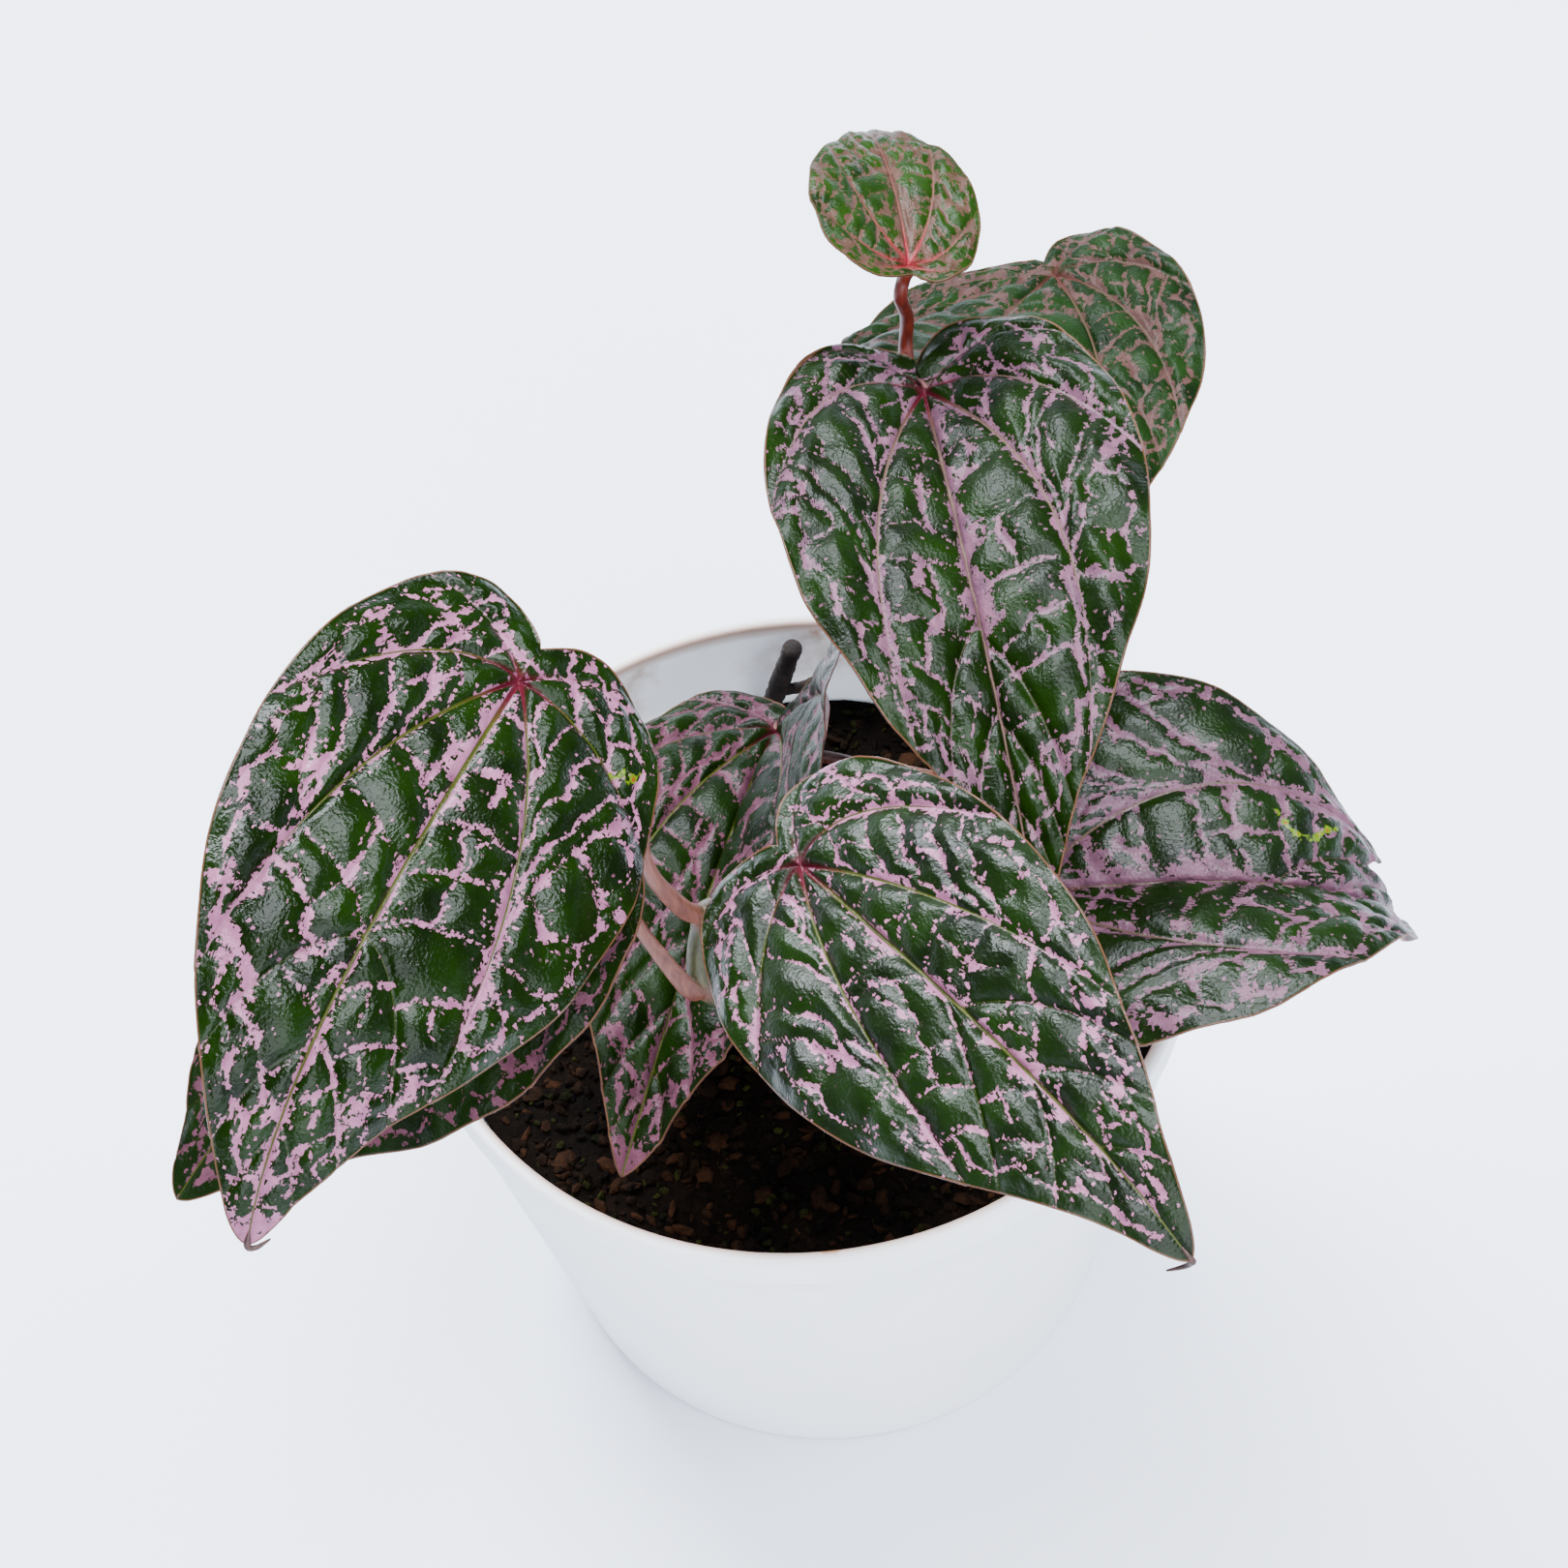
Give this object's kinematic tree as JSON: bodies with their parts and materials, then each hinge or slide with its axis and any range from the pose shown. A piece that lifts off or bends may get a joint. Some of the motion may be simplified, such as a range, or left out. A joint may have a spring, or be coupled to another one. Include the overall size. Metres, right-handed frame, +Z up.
{
  "type": "potted red betel",
  "caption": "Red betel houseplant with dark green, pink-netted heart-shaped leaves on two stems, growing in a plain white plastic nursery pot of bark soil.",
  "frame": {"origin": "the middle of the pot's flat underside, on the surface that it stands on", "axes": "+Z up along the pot's axis, -Y towards the front from which the plant is seen, +X to the viewer's right"},
  "size_m": [0.1733, 0.186, 0.1913],
  "materials": {
    "pot_plastic": "moulded white, slightly soiled at the lip",
    "potting_soil": "crumbly dark bark compost",
    "stem": "smooth living stem and petioles",
    "dead_stem": "dried and dark",
    "leaf": "waxy, quilted, pink along the veins",
    "young_leaf": "waxy, fresh green with a brown-pink net"
  },
  "bodies": {
    "root": {"pot": "pot_plastic", "soil": "potting_soil", "stem_front": "stem", "stem_back": "stem", "dry_stub": "dead_stem", "leaf_left": "leaf", "leaf_front": "leaf", "leaf_center": "leaf", "leaf_right": "leaf", "leaf_young": "young_leaf", "leaf_back": "leaf", "leaf_under": "leaf", "leaf_low": "leaf"}
  },
  "joints": []
}
